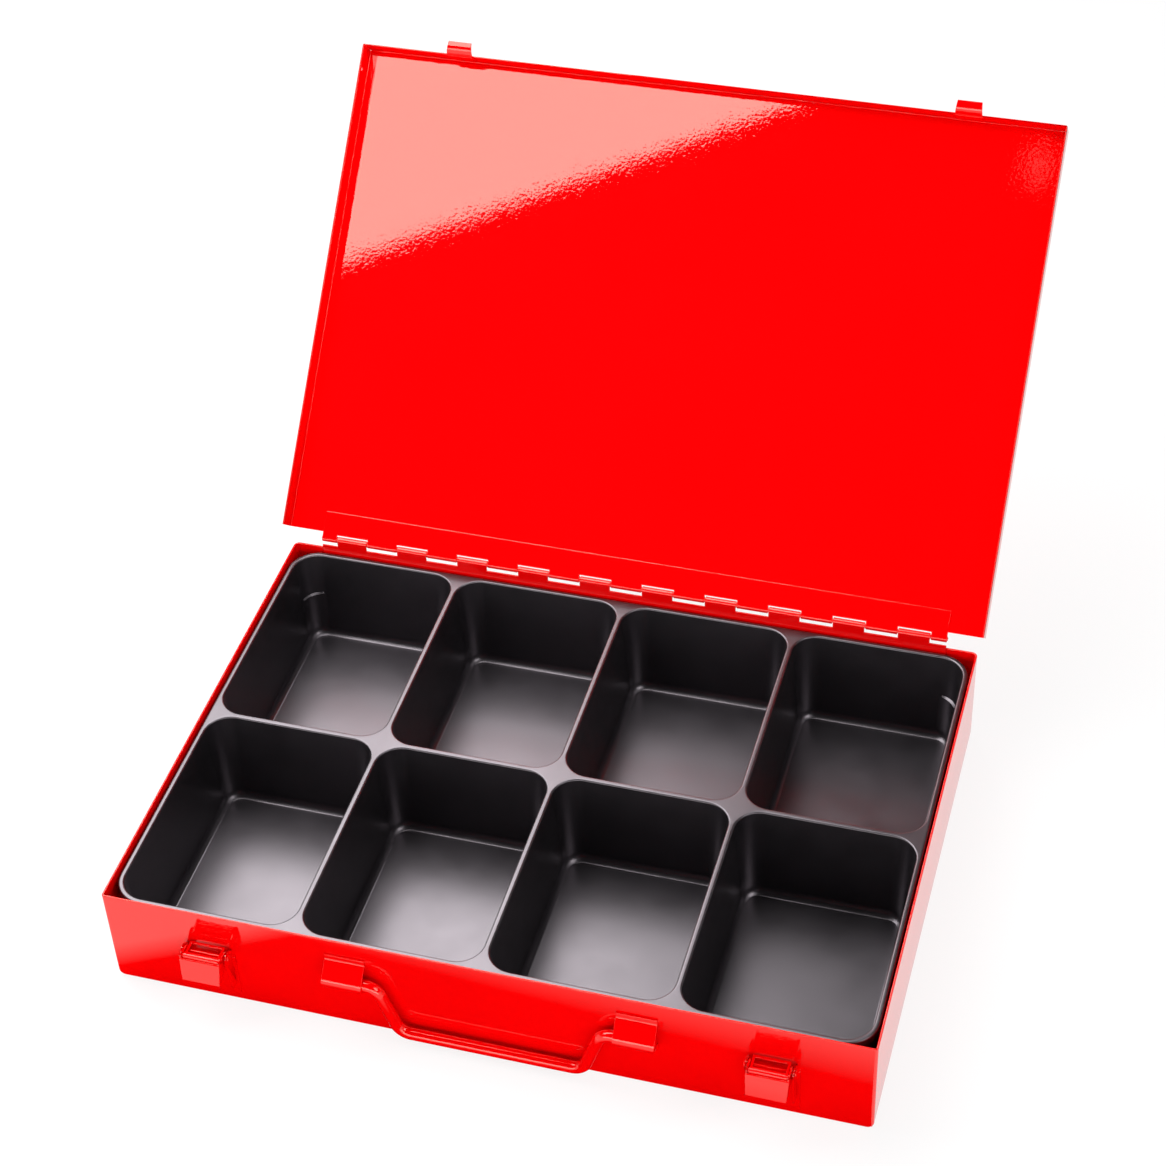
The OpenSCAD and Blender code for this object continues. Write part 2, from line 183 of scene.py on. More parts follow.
# Limits for telling edges, ways to face and places apart
SHARP = math.radians(38)
EDGE_ANGLE = 0.5
FACING = 0.9
TOUCH = 1e-6

X_AXIS = Vector((1, 0, 0))
Y_AXIS = Vector((0, 1, 0))
Z_AXIS = Vector((0, 0, 1))
SIDES = {"left": -1, "right": 1}

# Places taken from the frame
base_low, base_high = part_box("base_shell")
tray_low, tray_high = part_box("insert_tray")
front_y = base_low.y
rear_in_y = base_high.y - SHEET
hinge = Vector(joints["lid_hinge"]["pos_m"])
lid_open = math.radians(joints["lid_hinge"]["range_deg"][1])
lid_inner_z = hinge.z - KNUCKLE_R + LEAF_T
lid_top_z = lid_inner_z + SHEET
lid_front_y = front_y - LID_GAP - SHEET
lid_rear_y = hinge.y - KNUCKLE_R - LID_REAR_GAP
lid_half_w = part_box("lid_shell")[1].x
skirt_z = lid_top_z - LID_SKIRT
lever_pin = {s: Vector(joints["latch_lever_" + s]["pos_m"]) for s in SIDES}
link_pin = {s: Vector(joints["latch_link_" + s]["pos_m"]) for s in SIDES}
handle_axis = Vector(joints["handle_swing"]["pos_m"])

# Places worked out from these
knuckle_pitch = HINGE_LEN / HINGE_KNUCKLES
knuckle_len = knuckle_pitch / 2 - KNUCKLE_GAP
arm_angle = math.atan2(handle_axis.z - GRIP_Z, HANDLE_X - GRIP_X)
bend_len = BEND_R * math.tan(arm_angle / 2)


def block(bm, low, high):
    """Add a block between two corners and return its vertices"""
    low, high = Vector(low), Vector(high)
    made = bmesh.ops.create_cube(bm, size=1.0)["verts"]
    bmesh.ops.scale(bm, verts=made, vec=high - low)
    bmesh.ops.translate(bm, verts=made, vec=(low + high) / 2)
    return made


def soften(bm, edges, offset, segments):
    """Round edges off"""
    bmesh.ops.bevel(bm, geom=edges, offset=offset, segments=segments, profile=0.5,
                    affect="EDGES", material=-1, clamp_overlap=True)


def sharp_edges(bm):
    """Edges where two faces meet at a clear angle"""
    return [e for e in bm.edges if len(e.link_faces) == 2 and e.calc_face_angle() > EDGE_ANGLE]


def push(bm, face, move=(0, 0, 0)):
    """Draw one face out of the mesh and move it"""
    face = bmesh.ops.extrude_discrete_faces(bm, faces=[face])["faces"][0]
    bmesh.ops.translate(bm, verts=face.verts, vec=move)
    return face


def verts_of(geom):
    """The vertices among parts of a mesh"""
    return [g for g in geom if isinstance(g, bmesh.types.BMVert)]


def edges_between(verts):
    """Edges whose two ends are both in a list of vertices"""
    held = set(verts)
    return list({e for v in verts for e in v.link_edges if e.other_vert(v) in held})


def run_on(bm, edges, move):
    """Draw edges on in a straight run and return the new edges"""
    verts = verts_of(bmesh.ops.extrude_edge_only(bm, edges=edges)["geom"])
    bmesh.ops.translate(bm, verts=verts, vec=move)
    return edges_between(verts)


def bend_on(bm, edges, centre, axis, angle, steps):
    """Draw edges on round a bend and return the new edges"""
    verts = list({v for e in edges for v in e.verts})
    last = bmesh.ops.spin(bm, geom=verts + edges, cent=centre, axis=axis, angle=angle,
                          steps=steps, use_merge=False)["geom_last"]
    return [g for g in last if isinstance(g, bmesh.types.BMEdge)]


def cross_edge(bm, x0, x1, y, z):
    """Start a strip of sheet with one edge along X"""
    return [bm.edges.new((bm.verts.new((x0, y, z)), bm.verts.new((x1, y, z))))]


def cut(bm, axis, place):
    """Cut the whole mesh across an axis"""
    bmesh.ops.bisect_plane(bm, geom=[*bm.verts, *bm.edges, *bm.faces], plane_co=axis * place, plane_no=axis)


def rod(bm, x0, x1, centre, radius, segments=ROUND, end_round=0.0):
    """Add a round bar along X and return its vertices"""
    place = Matrix.Translation(((x0 + x1) / 2, centre.y, centre.z)) @ Matrix.Rotation(math.pi / 2, 4, "Y")
    made = bmesh.ops.create_cone(bm, cap_ends=True, segments=segments, radius1=radius, radius2=radius,
                                 depth=x1 - x0, matrix=place)["verts"]
    if end_round:
        rims = [e for e in edges_between(made) if abs(e.verts[0].co.x - e.verts[1].co.x) < TOUCH]
        soften(bm, rims, end_round, ROD_END_STEPS)
    return made


def hulled(bm, verts):
    """Wrap vertices in their convex hull"""
    made = bmesh.ops.convex_hull(bm, input=verts)
    loose = verts_of(made["geom_interior"] + made["geom_unused"])
    bmesh.ops.delete(bm, geom=loose, context="VERTS")


def span(x, side, near, far):
    """Two places at one side of x, in rising order"""
    return sorted((x + side * near, x + side * far))


def turn_lid_open(bm):
    """Turn a shape drawn on the shut lid to where the lid stands open"""
    bmesh.ops.rotate(bm, verts=bm.verts, cent=hinge, matrix=Matrix.Rotation(-lid_open, 3, "X"))


def piece(name, bm, body, finish, slot, nodes, wall=0.0, wall_side=-1.0, edge=0.0):
    """Turn a mesh into a finished piece that rides on a body and stands for CAD nodes"""
    mesh = bpy.data.meshes.new(name)
    bm.to_mesh(mesh)
    bm.free()
    mesh.materials.append(finish)
    mesh.shade_smooth()
    mesh.set_sharp_from_angle(angle=SHARP)
    made = bpy.data.objects.new(name, mesh)
    bpy.context.scene.collection.objects.link(made)
    if wall:
        sheet = made.modifiers.new("sheet", "SOLIDIFY")
        sheet.thickness = wall
        sheet.offset = wall_side
        sheet.use_even_offset = True
    if edge:
        worn = made.modifiers.new("edge", "BEVEL")
        worn.width = edge
        worn.segments = WORN_EDGE_STEPS
        worn.limit_method = "ANGLE"
        worn.angle_limit = SHARP
        worn.use_clamp_overlap = True
    even = made.modifiers.new("even_shading", "WEIGHTED_NORMAL")
    even.keep_sharp = True
    even.weight = 100
    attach(made, body)
    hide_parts(*nodes)


def painted(name, bm, body, node, **sheet):
    """Finish a piece in red enamel"""
    piece(name, bm, body, enamel, "paint", [node], **sheet)


# Finishes
PAINT_DEEP = (0.86, 0.0003, 0.0008, 1.0)
PAINT_BRIGHT = (0.92, 0.0004, 0.0010, 1.0)
PAINT_GLOSS = (1.0, 0.98, 0.84, 1.0)
PAINT_ROUGH_LOW = 0.016
PAINT_ROUGH_HIGH = 0.03
PAINT_IOR = 1.65
PLASTIC_DEEP = (0.002, 0.0017, 0.0022, 1.0)
PLASTIC_PALE = (0.0035, 0.0031, 0.0039, 1.0)
PLASTIC_GLOSS = (1.0, 0.90, 0.98, 1.0)
PLASTIC_ROUGH_LOW = 0.31
PLASTIC_ROUGH_HIGH = 0.37
PLASTIC_IOR = 1.65
PLASTIC_SPECULAR = 1.0


def grey(level):
    """An opaque grey"""
    return (level, level, level, 1.0)


def new_finish(name):
    """Start a material and return it with its nodes, links, shader and the place on the object"""
    finish = bpy.data.materials.new(name)
    finish.use_nodes = True
    nodes, links = finish.node_tree.nodes, finish.node_tree.links
    shader = nodes["Principled BSDF"]
    place = nodes.new("ShaderNodeTexCoord")
    return finish, nodes, links, shader, place.outputs["Object"]


def noise(nodes, links, place, scale, detail, roughness=0.5):
    """Add a noise pattern on the object's own place"""
    made = nodes.new("ShaderNodeTexNoise")
    made.inputs["Scale"].default_value = scale
    made.inputs["Detail"].default_value = detail
    made.inputs["Roughness"].default_value = roughness
    links.new(place, made.inputs["Vector"])
    return made.outputs["Fac"]


def ramp(nodes, links, value, low, high, start=0.3, end=0.7):
    """Map a pattern to two colours or two grey levels"""
    made = nodes.new("ShaderNodeValToRGB")
    made.color_ramp.elements[0].position = start
    made.color_ramp.elements[0].color = low
    made.color_ramp.elements[1].position = end
    made.color_ramp.elements[1].color = high
    links.new(value, made.inputs["Fac"])
    return made.outputs["Color"]


def bump(nodes, links, height, strength, distance, before=None):
    """Add a bump to the surface's normal"""
    made = nodes.new("ShaderNodeBump")
    made.inputs["Strength"].default_value = strength
    made.inputs["Distance"].default_value = distance
    links.new(height, made.inputs["Height"])
    if before is not None:
        links.new(before, made.inputs["Normal"])
    return made.outputs["Normal"]


def red_paint():
    """Wet-looking red stove enamel with a fine orange peel"""
    finish, nodes, links, shader, place = new_finish("red_enamel")
    cloud = noise(nodes, links, place, scale=9.0, detail=3.0)
    links.new(ramp(nodes, links, cloud, PAINT_DEEP, PAINT_BRIGHT), shader.inputs["Base Color"])
    haze = noise(nodes, links, place, scale=60.0, detail=4.0)
    gloss = ramp(nodes, links, haze, grey(PAINT_ROUGH_LOW), grey(PAINT_ROUGH_HIGH))
    links.new(gloss, shader.inputs["Roughness"])
    wave = noise(nodes, links, place, scale=70.0, detail=2.0)
    flow = bump(nodes, links, wave, strength=0.05, distance=0.0003)
    peel = noise(nodes, links, place, scale=550.0, detail=1.0)
    skin = bump(nodes, links, peel, strength=0.10, distance=0.0002, before=flow)
    links.new(skin, shader.inputs["Normal"])
    shader.inputs["IOR"].default_value = PAINT_IOR
    shader.inputs["Specular Tint"].default_value = PAINT_GLOSS
    return finish


def black_moulding():
    """Satin black plastic with a fine grain"""
    finish, nodes, links, shader, place = new_finish("black_moulding")
    cloud = noise(nodes, links, place, scale=14.0, detail=4.0)
    links.new(ramp(nodes, links, cloud, PLASTIC_DEEP, PLASTIC_PALE), shader.inputs["Base Color"])
    haze = noise(nodes, links, place, scale=45.0, detail=5.0, roughness=0.6)
    satin = ramp(nodes, links, haze, grey(PLASTIC_ROUGH_LOW), grey(PLASTIC_ROUGH_HIGH))
    links.new(satin, shader.inputs["Roughness"])
    sag = noise(nodes, links, place, scale=38.0, detail=1.0)
    soft = bump(nodes, links, sag, strength=0.05, distance=0.0006)
    grain = noise(nodes, links, place, scale=2600.0, detail=2.0)
    skin = bump(nodes, links, grain, strength=0.06, distance=0.00008, before=soft)
    links.new(skin, shader.inputs["Normal"])
    shader.inputs["IOR"].default_value = PLASTIC_IOR
    shader.inputs["Specular IOR Level"].default_value = PLASTIC_SPECULAR
    shader.inputs["Specular Tint"].default_value = PLASTIC_GLOSS
    return finish


enamel = red_paint()
moulding = black_moulding()


# Base
def at_height(verts, z):
    """Whether all vertices lie at a height"""
    return all(abs(v.co.z - z) < TOUCH for v in verts)


def hinge_notch(bm):
    """Press the hem flat against the rear wall over the length of the hinge"""
    half = HINGE_LEN / 2 + KNUCKLE_GAP
    hem_y = rear_in_y - 2 * HEM_T
    hem_z = base_high.z - HEM_H
    for x in (-half, half):
        for inward in (0.0, NOTCH_SLOPE):
            held = [f for f in bm.faces if f.calc_center_median().y > hem_y
                    and f.calc_center_median().z > hem_z - SHEET]
            geom = list({g for f in held for g in [f, *f.edges, *f.verts]})
            place = x + math.copysign(inward, -x)
            bmesh.ops.bisect_plane(bm, geom=geom, plane_co=X_AXIS * place, plane_no=X_AXIS)
    for v in bm.verts:
        in_hem = v.co.z > hem_z - SHEET / 2 and hem_y < v.co.y < rear_in_y
        if in_hem and abs(v.co.x) < half - NOTCH_SLOPE / 2:
            v.co.y = rear_in_y
    bmesh.ops.dissolve_degenerate(bm, dist=TOUCH, edges=bm.edges)


def base_pan():
    """Folded pan with rounded edges and a hem along the rim"""
    bm = bmesh.new()
    block(bm, base_low, base_high)
    side_feet = [e for e in bm.edges if abs(e.verts[0].co.y - e.verts[1].co.y) > BASE_EDGE_R
                 and max(v.co.z for v in e.verts) < base_high.z]
    soften(bm, side_feet, BASE_EDGE_R, BASE_EDGE_STEPS)
    for y, radius in ((base_low.y, FRONT_CORNER_R), (base_high.y, REAR_CORNER_R)):
        round_wall = [e for e in bm.edges if all(abs(v.co.y - y) < TOUCH for v in e.verts)
                      and not at_height(e.verts, base_high.z)]
        soften(bm, round_wall, radius, WALL_CORNER_STEPS)
    top = max((f for f in bm.faces if at_height(f.verts, base_high.z)), key=lambda f: f.calc_area())
    bmesh.ops.inset_region(bm, faces=[top], thickness=SHEET + HEM_T, use_even_offset=True)
    top = push(bm, top, (0, 0, -HEM_H))
    top = push(bm, top)
    hem_size = base_high - base_low - (X_AXIS + Y_AXIS) * 2 * (SHEET + HEM_T)
    wall_size = hem_size + (X_AXIS + Y_AXIS) * 2 * HEM_T
    bmesh.ops.scale(bm, verts=top.verts, vec=(wall_size.x / hem_size.x, wall_size.y / hem_size.y, 1))
    top = push(bm, top, (0, 0, base_low.z + SHEET + HEM_H - base_high.z))
    soften(bm, list(top.edges), FRONT_CORNER_R - SHEET, PAN_FOOT_STEPS)
    rim = [e for e in sharp_edges(bm) if at_height(e.verts, base_high.z)]
    soften(bm, rim, RIM_ROUND, RIM_STEPS)
    hinge_notch(bm)
    bmesh.ops.recalc_face_normals(bm, faces=bm.faces)
    painted("base_pan", bm, "base", "base_shell")


# Lid
def hang_hole(bm):
    """Small round hole through the left skirt"""
    skirt = max((f for f in bm.faces if f.normal.x < -FACING), key=lambda f: f.calc_area())
    edges = list(skirt.edges)
    bmesh.ops.delete(bm, geom=[skirt], context="FACES_ONLY")
    centre = (-lid_half_w, lid_front_y + HANG_HOLE_IN, skirt_z + HANG_HOLE_UP)
    place = Matrix.Translation(centre) @ Matrix.Rotation(math.pi / 2, 4, "Y")
    ring = bmesh.ops.create_circle(bm, segments=HOLE_ROUND, radius=HANG_HOLE_R, matrix=place)["verts"]
    bmesh.ops.triangle_fill(bm, use_beauty=True, use_dissolve=False, edges=edges + edges_between(ring),
                            normal=-X_AXIS)


def lid_panel():
    """Folded lid with three skirts, open corner reliefs and a hole to hang it by in the paint shop"""
    bm = bmesh.new()
    block(bm, (-lid_half_w, lid_front_y, skirt_z), (lid_half_w, lid_rear_y, lid_top_z))
    open_faces = [f for f in bm.faces if f.normal.z < -FACING or f.normal.y > FACING]
    bmesh.ops.delete(bm, geom=open_faces, context="FACES")
    soften(bm, [e for e in bm.edges if len(e.link_faces) == 2], LID_R, LID_FOLD_STEPS)
    corners = [Vector((s * lid_half_w, lid_front_y, lid_top_z)) for s in SIDES.values()]
    relief = [f for f in bm.faces if min((f.calc_center_median() - c).length for c in corners) < RELIEF_R]
    bmesh.ops.delete(bm, geom=relief, context="FACES")
    hang_hole(bm)
    bmesh.ops.recalc_face_normals(bm, faces=bm.faces)
    turn_lid_open(bm)
    painted("lid_panel", bm, "lid", "lid_shell", wall=SHEET)


# Hinge
def knuckles(count, first):
    """Start and end of each knuckle in a row from a first middle, kept within the hinge's length"""
    end = HINGE_LEN / 2
    middles = [first + k * knuckle_pitch for k in range(count)]
    return [(max(x - knuckle_len / 2, -end), min(x + knuckle_len / 2, end)) for x in middles]


def leaf_with_curls(bm, spans, foot, neck, along, turn):
    """Sheet leaf whose fingers run on from a strip and curl round the pin"""
    strip = cross_edge(bm, -HINGE_LEN / 2, HINGE_LEN / 2, foot.y, foot.z)
    run_on(bm, strip, neck - foot)
    for x in sorted({x for ends in spans for x in ends}):
        if abs(x) < HINGE_LEN / 2 - TOUCH:
            cut(bm, X_AXIS, x)
    reach = (hinge - neck).dot(along)
    for low, high in spans:
        finger = [e for e in bm.edges if all((v.co - neck).dot(along) > -TOUCH for v in e.verts)
                  and all(low - TOUCH < v.co.x < high + TOUCH for v in e.verts)]
        tip = run_on(bm, finger, along * reach)
        bend_on(bm, tip, hinge, X_AXIS, turn, CURL_STEPS)


def base_hinge():
    """Leaf inside the rear wall"""
    bm = bmesh.new()
    y = rear_in_y - LEAF_T / 2
    foot = Vector((0, y, base_high.z - BASE_LEAF_H))
    neck = Vector((0, y, hinge.z - KNUCKLE_R - KNUCKLE_SLOT))
    spans = knuckles(HINGE_KNUCKLES, (knuckle_pitch - HINGE_LEN) / 2)
    leaf_with_curls(bm, spans, foot, neck, Z_AXIS, -CURL_TURN)
    painted("base_hinge", bm, "base", "base_hinge_leaf", wall=LEAF_T, wall_side=0.0, edge=BASE_LEAF_EDGE)


def lid_hinge():
    """Leaf under the lid's panel"""
    bm = bmesh.new()
    z = lid_inner_z - LEAF_T / 2
    foot = Vector((0, hinge.y - LID_LEAF_W, z))
    neck = Vector((0, hinge.y - KNUCKLE_R - FINGER_GAP, z))
    spans = knuckles(HINGE_KNUCKLES + 1, -HINGE_LEN / 2)
    leaf_with_curls(bm, spans, foot, neck, Y_AXIS, CURL_TURN)
    turn_lid_open(bm)
    painted("lid_hinge", bm, "lid", "lid_hinge_leaf", wall=LEAF_T, wall_side=0.0, edge=LID_LEAF_EDGE)


def hinge_wire():
    """Wire pin of the hinge"""
    bm = bmesh.new()
    half = HINGE_LEN / 2 + KNUCKLE_GAP
    rod(bm, -half, half, hinge, HINGE_WIRE_R, WIRE_ROUND, WIRE_END_ROUND)
    painted("hinge_wire", bm, "base", "hinge_pin")


# Tray
def rounded_plate(bm, size, radius):
    """Flat face at the height of the tray's rim, with rounded corners"""
    made = bmesh.ops.create_grid(bm, x_segments=1, y_segments=1, size=0.5)["verts"]
    bmesh.ops.scale(bm, verts=made, vec=(size[0], size[1], 1))
    bmesh.ops.translate(bm, verts=made, vec=(0, 0, tray_high.z))
    known = set(bm.faces) - set(made[0].link_faces)
    bmesh.ops.bevel(bm, geom=made, offset=radius, segments=POCKET_CORNER_STEPS, profile=0.5,
                    affect="VERTICES", material=-1)
    return (set(bm.faces) - known).pop()


def sink(bm, face, inset, depth):
    """Draw a face in and down by one ring"""
    bmesh.ops.inset_region(bm, faces=[face], thickness=inset, depth=-depth, use_even_offset=True,
                           use_boundary=True)


def turned(start, end, parts):
    """Angles between two numbers of degrees in equal parts"""
    return [math.radians(start + (end - start) * k / parts) for k in range(parts + 1)]


def roll_over(bm, face, radius, angles):
    """Turn a rim from level towards upright"""
    for a, b in zip(angles, angles[1:]):
        sink(bm, face, radius * (math.sin(b) - math.sin(a)), radius * (math.cos(a) - math.cos(b)))


def round_down(bm, face, radius, angles):
    """Turn a drawn-in wall from upright towards level"""
    for a, b in zip(angles, angles[1:]):
        sink(bm, face, radius * (math.cos(a) - math.cos(b)), radius * (math.sin(b) - math.sin(a)))


def compartment(bm, size):
    """One compartment from its rolled rim over drafted walls to a rounded and creased floor edge"""
    face = rounded_plate(bm, [s + 2 * RIM_ROLL for s in size], POCKET_R + RIM_ROLL)
    roll_over(bm, face, RIM_ROLL, turned(0, 90, RIM_ROLL_STEPS))
    bend = turned(0, FLOOR_EDGE_TURN, FLOOR_EDGE_STEPS)
    crease = turned(FLOOR_EDGE_TURN, 90, CREASE_STEPS)
    edge_h = FLOOR_EDGE_R * math.sin(bend[-1]) + FLOOR_CREASE_R * (1 - math.sin(bend[-1]))
    floor_z = base_low.z + SHEET + TRAY_WALL
    wall_h = tray_high.z - RIM_ROLL - floor_z - edge_h
    for part in (STEP_DEPTH, STEP_W, wall_h - STEP_DEPTH - STEP_W):
        sink(bm, face, part * math.tan(POCKET_DRAFT), part)
    round_down(bm, face, FLOOR_EDGE_R, bend)
    round_down(bm, face, FLOOR_CREASE_R, crease)


def corner_ledges(bm, wide, deep):
    """Press a small ledge into the two outer rear corners, below the rim"""
    ledge_z = tray_high.z - RIM_ROLL - STEP_DEPTH - STEP_W
    x = wide / 2 - TRAY_RIM - POCKET_R
    y = deep / 2 - TRAY_RIM - POCKET_R
    for v in bm.verts:
        out = Vector((abs(v.co.x) - x, v.co.y - y))
        if at_height([v], ledge_z) and min(out) > 0:
            share = math.sqrt(math.sin(2 * math.atan2(out.y, out.x)))
            inward = out.normalized() * STEP_OUT * share
            v.co.x -= math.copysign(inward.x, v.co.x)
            v.co.y -= inward.y


def tray_insert():
    """One-piece moulded tray: compartments in a rim plate with a turned-down edge"""
    bm = bmesh.new()
    wide = tray_high.x - tray_low.x
    deep = tray_high.y - tray_low.y
    size = ((wide - 2 * TRAY_RIM - (TRAY_COLS - 1) * DIVIDER_W) / TRAY_COLS,
            (deep - 2 * TRAY_RIM - (TRAY_ROWS - 1) * DIVIDER_W) / TRAY_ROWS)
    pitch_x, pitch_y = (s + DIVIDER_W for s in size)
    compartment(bm, size)
    first = [*bm.verts, *bm.edges, *bm.faces]
    for i in range(TRAY_COLS):
        for j in range(TRAY_ROWS):
            if i or j:
                copy = verts_of(bmesh.ops.duplicate(bm, geom=first)["geom"])
                bmesh.ops.translate(bm, verts=copy, vec=(i * pitch_x, j * pitch_y, 0))
    to_middle = ((1 - TRAY_COLS) / 2 * pitch_x, (1 - TRAY_ROWS) / 2 * pitch_y, 0)
    bmesh.ops.translate(bm, verts=bm.verts, vec=to_middle)
    corner_ledges(bm, wide, deep)
    outline = rounded_plate(bm, (wide, deep), POCKET_R + TRAY_RIM)
    edges = list(outline.edges)
    bmesh.ops.delete(bm, geom=[outline], context="FACES_ONLY")
    lip = run_on(bm, edges, (0, 0, -TRAY_LIP))
    holes = [e for e in bm.edges if e.is_boundary and e not in lip]
    bmesh.ops.triangle_fill(bm, use_beauty=True, use_dissolve=False, edges=holes, normal=Z_AXIS)
    soften(bm, edges, RIM_ROLL, TRAY_LIP_STEPS)
    bmesh.ops.recalc_face_normals(bm, faces=bm.faces)
    piece("tray_insert", bm, "base", moulding, "tray", ["insert_tray"], wall=TRAY_WALL)


# Latches
def catch(side):
    """Bent tab on the lid's front skirt with a lip for the latch"""
    bm = bmesh.new()
    x = lever_pin[side].x
    y = front_y - LID_GAP + LATCH_T / 2
    top_z = skirt_z + CATCH_TAB
    bend_y = y - CATCH_BEND
    bend_z = skirt_z - CATCH_DROP + LATCH_T / 2 + CATCH_BEND
    tip_y = lid_front_y - CATCH_OUT
    strip = cross_edge(bm, x - CATCH_W / 2, x + CATCH_W / 2, y, top_z)
    strip = run_on(bm, strip, (0, 0, bend_z - top_z))
    strip = bend_on(bm, strip, (x, bend_y, bend_z), X_AXIS, -math.pi / 2, CATCH_BEND_STEPS)
    run_on(bm, strip, (0, tip_y - bend_y, 0))
    for v in bm.verts:
        share = (y - v.co.y) / (y - tip_y)
        v.co.x = x + (v.co.x - x) * (1 - (1 - CATCH_TAPER) * share)
    turn_lid_open(bm)
    painted("catch_" + side, bm, "lid", "lid_catch_" + side, wall=LATCH_T, wall_side=0.0, edge=CATCH_EDGE)


def latch_bracket(side):
    """Bracket on the front wall with a round-topped ear at each side of the lever"""
    bm = bmesh.new()
    pin = lever_pin[side]
    toe = Vector((pin.x, front_y - EAR_TOE_R, EAR_Z + EAR_TOE_R))
    ear = LEVER_W / 2 + MOVE_GAP
    half = ear + LATCH_T + BRACKET_MARGIN
    plate = block(bm, (pin.x - half, front_y - LATCH_T, BRACKET_Z),
                  (pin.x + half, front_y, pin.z - BRACKET_BELOW_PIN))
    front_top = [v for v in plate if v.co.y < front_y - LATCH_T / 2 and v.co.z > BRACKET_Z + LATCH_T]
    bmesh.ops.translate(bm, verts=front_top, vec=(0, 0, -BRACKET_TOP_FALL))
    for s in SIDES.values():
        x0, x1 = span(pin.x, s, ear, ear + LATCH_T)
        wrap = rod(bm, x0, x1, pin, EAR_BOSS_R, BOSS_ROUND)
        wrap += rod(bm, x0, x1, toe, EAR_TOE_R, BOSS_ROUND)
        wrap += block(bm, (x0, front_y - LATCH_T, EAR_Z), (x1, front_y, pin.z))
        hulled(bm, wrap)
    painted("latch_bracket_" + side + "_plate", bm, "base", "latch_bracket_" + side, edge=BRACKET_EDGE)


def latch_lever(side):
    """Pressed lever: a front plate with two cheeks that hold its pins"""
    bm = bmesh.new()
    pin, top = lever_pin[side], link_pin[side]
    half = LEVER_W / 2
    plate_y = top.y - LINK_BARREL_R - PLATE_GAP
    low_y = plate_y - PLATE_LEAN
    high = top.z - LEVER_TOP_GAP
    low = high - LEVER_H
    plate = block(bm, (pin.x - half, plate_y - LATCH_T, low), (pin.x + half, plate_y, high))
    foot = [v for v in plate if v.co.z < (low + high) / 2]
    bmesh.ops.translate(bm, verts=foot, vec=(0, -PLATE_LEAN, 0))
    bmesh.ops.scale(bm, verts=foot, vec=(PLATE_TAPER, 1, 1), space=Matrix.Translation((-pin.x, 0, 0)))
    for s in SIDES.values():
        x0, x1 = span(pin.x, s, half, half - LATCH_T)
        shift = s * half * (1 - PLATE_TAPER)
        wrap = rod(bm, x0, x1, pin, LEVER_BOSS_R, BOSS_ROUND)
        wrap += rod(bm, x0, x1, top, LEVER_TOP_BOSS_R, BOSS_ROUND)
        wrap += block(bm, (x0 - shift, low_y, low), (x1 - shift, low_y + CHEEK_FOOT, low + CHEEK_FOOT))
        wrap += block(bm, (x0, plate_y, high - CHEEK_FOOT), (x1, plate_y + CHEEK_LAP, high))
        hulled(bm, wrap)
    painted("latch_lever_" + side + "_press", bm, "latch_" + side, "latch_lever_" + side, edge=LEVER_EDGE)


def latch_link(side):
    """Slotted link that swings over the lid's catch"""
    bm = bmesh.new()
    pin = link_pin[side]
    half = LEVER_W / 2 - LATCH_T - MOVE_GAP
    tip_y = front_y - LINK_TIP_GAP
    slot_half = CATCH_W / 2 + LINK_SLOT_GAP
    slot_near = pin.y + LINK_BARREL_R + LINK_SLOT_GAP
    slot_far = tip_y - LINK_BAR
    strip = cross_edge(bm, pin.x - half, pin.x + half, pin.y, pin.z)
    run_on(bm, strip, (0, tip_y - pin.y, 0))
    for s in SIDES.values():
        cut(bm, X_AXIS, pin.x + s * slot_half)
    for y in (slot_near, slot_far):
        cut(bm, Y_AXIS, y)
    slot = [f for f in bm.faces if abs(f.calc_center_median().x - pin.x) < slot_half
            and slot_near < f.calc_center_median().y < slot_far]
    bmesh.ops.delete(bm, geom=slot, context="FACES")
    bmesh.ops.solidify(bm, geom=bm.faces, thickness=LATCH_T)
    heights = [v.co.z for v in bm.verts]
    to_middle = pin.z - (min(heights) + max(heights)) / 2
    bmesh.ops.translate(bm, verts=bm.verts, vec=(0, 0, to_middle))
    rod(bm, pin.x - half, pin.x + half, pin, LINK_BARREL_R, BARREL_ROUND)
    bmesh.ops.recalc_face_normals(bm, faces=bm.faces)
    painted("latch_link_" + side + "_plate", bm, "link_" + side, "latch_link_" + side, edge=LINK_EDGE)


def latch_pins(side):
    """Headed lever pin in the bracket and plain link pin in the lever"""
    bm = bmesh.new()
    pin = lever_pin[side]
    reach = LEVER_W / 2 + MOVE_GAP + LATCH_T
    rod(bm, pin.x - reach, pin.x + reach, pin, LEVER_PIN_R)
    for s in SIDES.values():
        x0, x1 = span(pin.x, s, reach, reach + PIN_HEAD_T)
        rod(bm, x0, x1, pin, LEVER_PIN_R + PIN_HEAD_OUT, end_round=PIN_HEAD_ROUND)
    painted("lever_pin_" + side + "_rivet", bm, "base", "lever_pin_" + side)
    bm = bmesh.new()
    pin = link_pin[side]
    rod(bm, pin.x - LEVER_W / 2, pin.x + LEVER_W / 2, pin, LINK_PIN_R, end_round=LINK_PIN_ROUND)
    painted("link_pin_" + side + "_rivet", bm, "latch_" + side, "link_pin_" + side)


